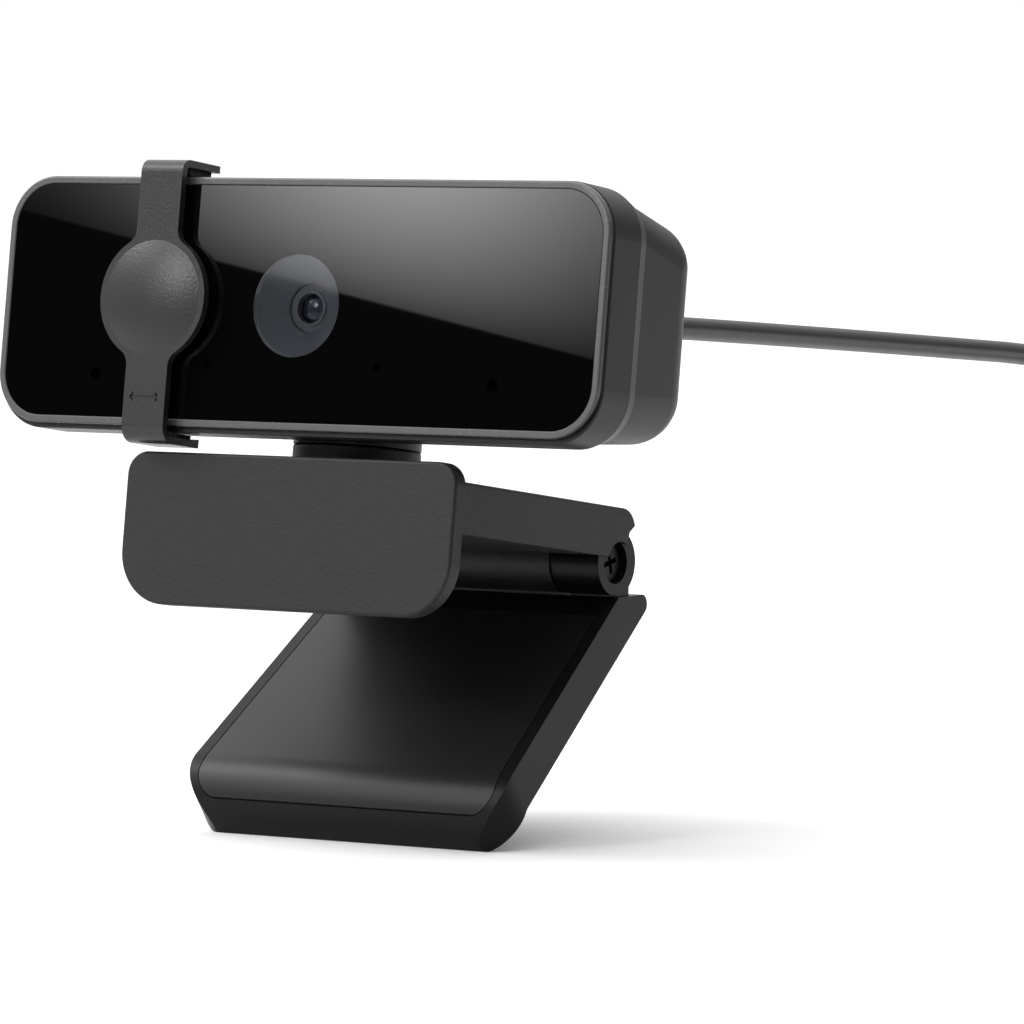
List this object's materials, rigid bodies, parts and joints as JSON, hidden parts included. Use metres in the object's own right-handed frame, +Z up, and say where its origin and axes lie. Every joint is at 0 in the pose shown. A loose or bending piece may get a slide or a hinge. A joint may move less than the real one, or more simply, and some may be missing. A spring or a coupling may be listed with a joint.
{
  "type": "clip-on webcam",
  "caption": "Clip-on webcam with a wide glossy face, a sliding privacy shutter and a folding clip leg that it stands on, with its USB cable coiled behind it",
  "frame": {"origin": "on the supporting surface, under the middle of the box round the webcam without its cable", "axes": "+Z up, the lens looks along -Y, +X to the right for someone facing the lens"},
  "size_m": [0.1046, 0.3892, 0.0986],
  "materials": {
    "housing_black": "fine satin moulded plastic",
    "trim_grey": "satin dark grey ring, lighter than the housing",
    "face_glass": "glossy black cover glass",
    "window_glass": "smoked clear window over the lens",
    "lens_black": "matte black lens parts",
    "lens_glass": "coated optical glass",
    "electronics": "circuit board and chips, not seen from outside",
    "pipe_clear": "clear light pipe, unlit",
    "screw_steel": "plain zinc plated steel",
    "clip_black": "finely textured moulded plastic",
    "washer_nylon": "black nylon",
    "pad_rubber": "satin soft rubber",
    "leg_black": "satin moulded plastic",
    "shutter_grey": "finely textured moulded plastic",
    "felt_black": "short black felt",
    "insert_brass": "turned brass insert",
    "cable_jacket": "smooth satin cable jacket",
    "tie_fabric": "woven hook and loop strap",
    "plug_shell": "plated pressed steel",
    "plug_tongue": "moulded insulator",
    "contact_gold": "gold plated contacts"
  },
  "bodies": {
    "clip": {"clip_plate": "clip_black", "plate_pad": "pad_rubber", "clip_arm": "clip_black", "arm_floor": "clip_black", "floor_screws": "screw_steel", "arm_pad": "pad_rubber", "hinge_screws": "screw_steel", "hinge_washers": "washer_nylon", "swivel_neck": "clip_black", "swivel_washer": "washer_nylon", "swivel_cap": "screw_steel", "swivel_screw": "screw_steel", "neck_screws": "screw_steel"},
    "head": {"front_housing": "housing_black", "trim_ring": "trim_grey", "front_glass": "face_glass", "lens_window": "window_glass", "lens_cone": "lens_black", "lens_barrel": "lens_black", "lens_front_element": "lens_glass", "lens_rear_element": "lens_glass", "lens_holder": "lens_black", "ir_filter": "lens_glass", "image_sensor": "electronics", "main_board": "electronics", "board_screws": "screw_steel", "microphones": "electronics", "microphone_boots": "housing_black", "light_pipes": "pipe_clear", "status_leds": "pipe_clear", "video_chip": "electronics", "cable_connector": "electronics", "rear_cover": "housing_black", "cable_gland": "cable_jacket", "usb_cable": "cable_jacket", "usb_cable_coil": "cable_jacket", "usb_cable_tail": "cable_jacket", "cable_tie": "tie_fabric", "usb_plug_body": "cable_jacket", "usb_plug_shell": "plug_shell", "usb_plug_tongue": "plug_tongue", "usb_plug_contacts": "contact_gold"},
    "shutter": {"privacy_shutter": "shutter_grey", "shutter_pads": "felt_black"},
    "leg": {"leg_frame": "leg_black", "leg_pad": "pad_rubber", "tripod_insert": "insert_brass"}
  },
  "joints": [
    {"name": "head_pan", "type": "hinge", "parent": "clip", "child": "head", "pos_m": [0, -0.00974, 0.05587], "axis": [0, 0.1392, 0.9903], "continuous": true},
    {"name": "leg_hinge", "type": "hinge", "parent": "clip", "child": "leg", "pos_m": [0, 0.02168, 0.03944], "axis": [1, 0, 0], "range_deg": [-30, 76]},
    {"name": "shutter_slide", "type": "slide", "parent": "head", "child": "shutter", "axis": [1, 0, 0], "range_m": [-0.016, 0.064]}
  ]
}
